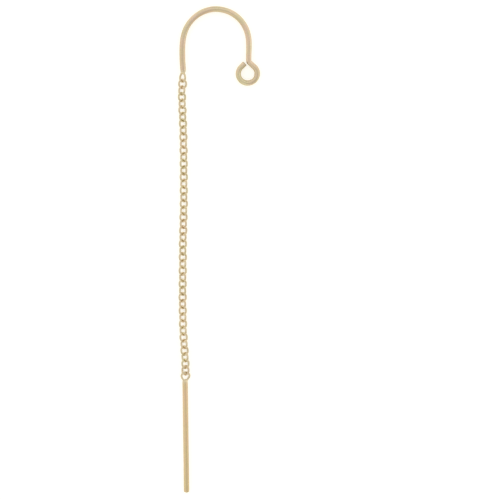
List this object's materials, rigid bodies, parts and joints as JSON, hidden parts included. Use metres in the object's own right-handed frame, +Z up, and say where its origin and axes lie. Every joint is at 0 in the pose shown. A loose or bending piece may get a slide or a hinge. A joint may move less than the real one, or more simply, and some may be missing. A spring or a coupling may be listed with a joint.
{
  "type": "chain earring",
  "caption": "Threader earring: a half-round wire ear hook with a small open ring, a fine cable chain and a thin straight bar that is fed through the ear.",
  "frame": {"origin": "on the resting surface, under the middle of the earring's length and width", "axes": "+Y along the earring from the bar's free end to the hook's top, +X across to the side of the hook's open ring, +Z up from the resting surface"},
  "size_m": [0.0112, 0.067, 0.0012],
  "materials": {
    "hook_gold": "polished pale yellow gold",
    "chain_gold": "polished pale yellow gold",
    "bar_gold": "polished pale yellow gold"
  },
  "bodies": {
    "root": {"ear_hook": "hook_gold", "chain": "chain_gold", "threader_bar": "bar_gold"}
  },
  "joints": []
}
